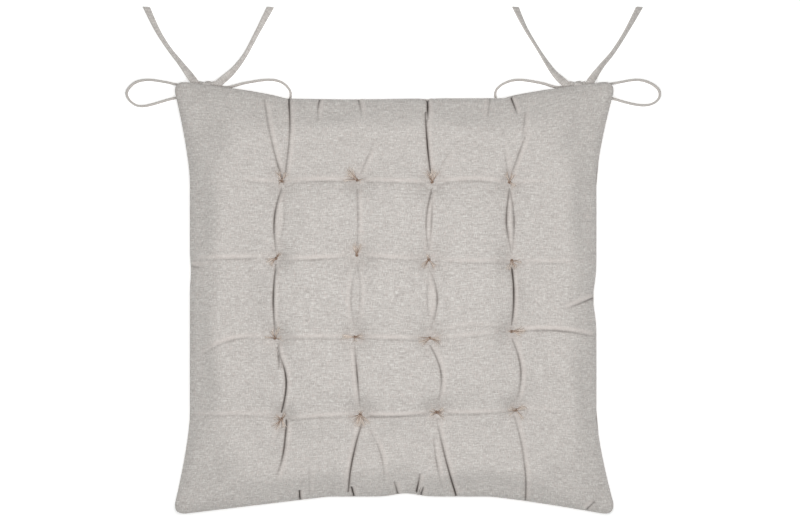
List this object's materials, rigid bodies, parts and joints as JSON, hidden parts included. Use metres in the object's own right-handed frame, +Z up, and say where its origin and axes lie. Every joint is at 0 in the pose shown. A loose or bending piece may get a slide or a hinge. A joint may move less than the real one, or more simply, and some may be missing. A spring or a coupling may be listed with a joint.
{
  "type": "chair seat pad",
  "caption": "Square tufted seat pad of woven fabric over fibre filling, with knife-edge seams and a bow of fabric tape at each back corner.",
  "frame": {"origin": "under the middle of the pad, on the surface it lies on, measured without the ties", "axes": "+Z up out of the sitting face, +Y towards the back of the chair and the tied edge, +X to the right when looking along +Y"},
  "size_m": [0.4908, 0.4652, 0.051],
  "materials": {
    "cover_fabric": "plain-woven cotton and linen, matt, with fine pale slubs",
    "fibre": "hollow polyester fibre, loose and springy",
    "tufting_thread": "twisted tan cotton thread with frayed ends",
    "sewing_thread": "spun polyester sewing thread, matched to the cover",
    "tape": "the cover's cloth folded into a flat tape and edge-stitched"
  },
  "bodies": {
    "pad": {"top_cover": "cover_fabric", "bottom_cover": "cover_fabric", "fibre_filling": "fibre", "seam_stitching": "sewing_thread", "closing_stitching": "sewing_thread", "tuft_1_1": "tufting_thread", "tuft_1_2": "tufting_thread", "tuft_1_3": "tufting_thread", "tuft_1_4": "tufting_thread", "tuft_2_1": "tufting_thread", "tuft_2_2": "tufting_thread", "tuft_2_3": "tufting_thread", "tuft_2_4": "tufting_thread", "tuft_3_1": "tufting_thread", "tuft_3_2": "tufting_thread", "tuft_3_3": "tufting_thread", "tuft_3_4": "tufting_thread", "tuft_4_1": "tufting_thread", "tuft_4_2": "tufting_thread", "tuft_4_3": "tufting_thread", "tuft_4_4": "tufting_thread", "left_tie_anchor": "tape", "right_tie_anchor": "tape"},
    "left_tie": {"left_tie_knot": "tape", "left_tie_outer_loop": "tape", "left_tie_inner_loop": "tape", "left_tie_outer_tail": "tape", "left_tie_inner_tail": "tape"},
    "right_tie": {"right_tie_knot": "tape", "right_tie_outer_loop": "tape", "right_tie_inner_loop": "tape", "right_tie_outer_tail": "tape", "right_tie_inner_tail": "tape"}
  },
  "joints": [
    {"name": "left_tie_swing", "type": "hinge", "parent": "pad", "child": "left_tie", "pos_m": [-0.1717, 0.1955, 0.0195], "axis": [1, 0, 0], "range_deg": [0, 90]},
    {"name": "right_tie_swing", "type": "hinge", "parent": "pad", "child": "right_tie", "pos_m": [0.1672, 0.1955, 0.0195], "axis": [1, 0, 0], "range_deg": [0, 90]}
  ]
}
